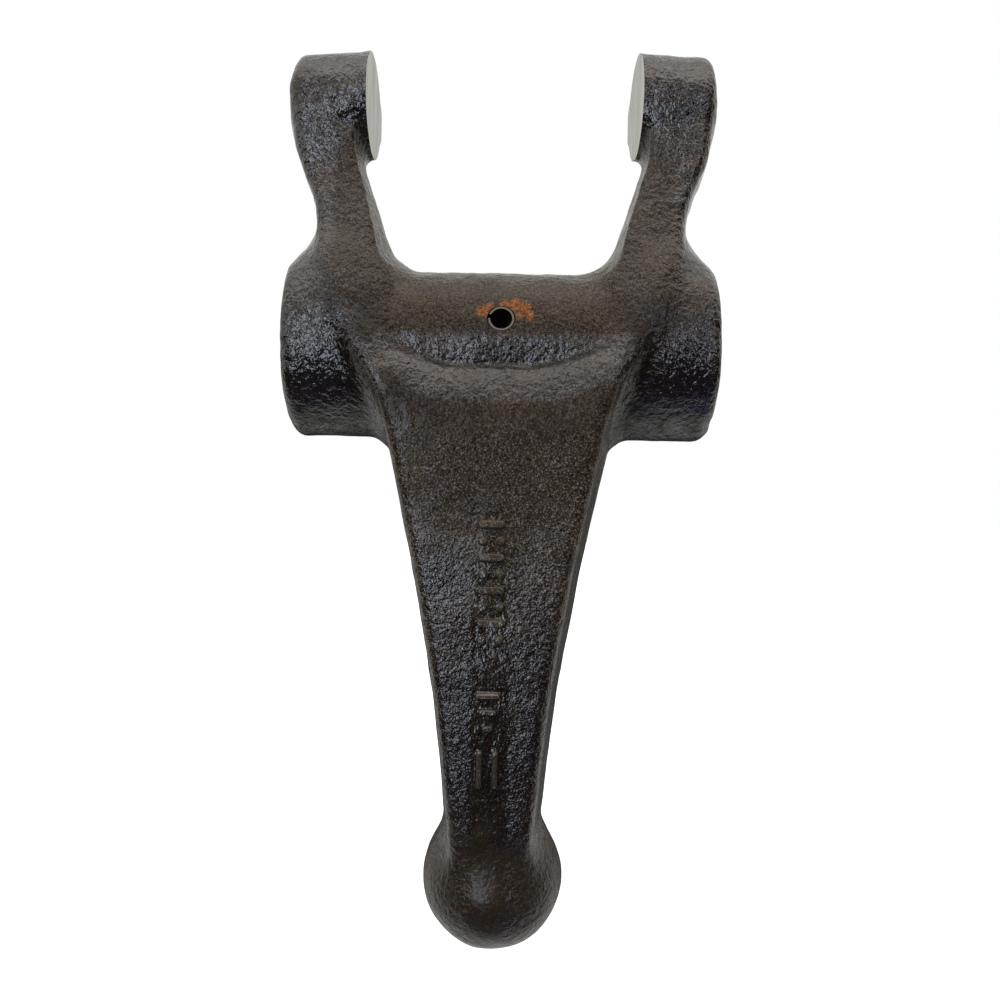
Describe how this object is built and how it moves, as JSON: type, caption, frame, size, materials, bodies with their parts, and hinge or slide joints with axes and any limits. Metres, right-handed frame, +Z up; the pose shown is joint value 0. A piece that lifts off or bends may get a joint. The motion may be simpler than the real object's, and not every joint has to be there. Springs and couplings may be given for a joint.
{
  "type": "clutch release fork",
  "caption": "Forged clutch release fork: a bushed cross barrel, prongs with round flat-faced ears, and a tapering arm that ends in a ball with a pushrod socket.",
  "frame": {"origin": "middle of the pivot axis, halfway between the barrel's ends", "axes": "+X along the pivot axis, +Z up the prongs, away from the ball end, +Y to the rear, the side of the release bearing and the pushrod"},
  "size_m": [0.1248, 0.0562, 0.2715],
  "materials": {
    "forged_steel": "dark brown-black oiled forging skin, finely pitted, with bare machined faces",
    "spring_steel": "dark oiled spring steel with rust at the rim",
    "bush_metal": "dull bronze running surface",
    "seal_steel": "plain pressed steel",
    "seal_rubber": "matte black nitrile",
    "hardened_steel": "ground and hardened, worn bright in the cup"
  },
  "bodies": {
    "root": {"fork_body": "forged_steel", "spring_pin": "spring_steel", "left_bush": "bush_metal", "right_bush": "bush_metal", "left_seal_case": "seal_steel", "right_seal_case": "seal_steel", "left_seal_lip": "seal_rubber", "right_seal_lip": "seal_rubber", "pushrod_seat": "hardened_steel"}
  },
  "joints": []
}
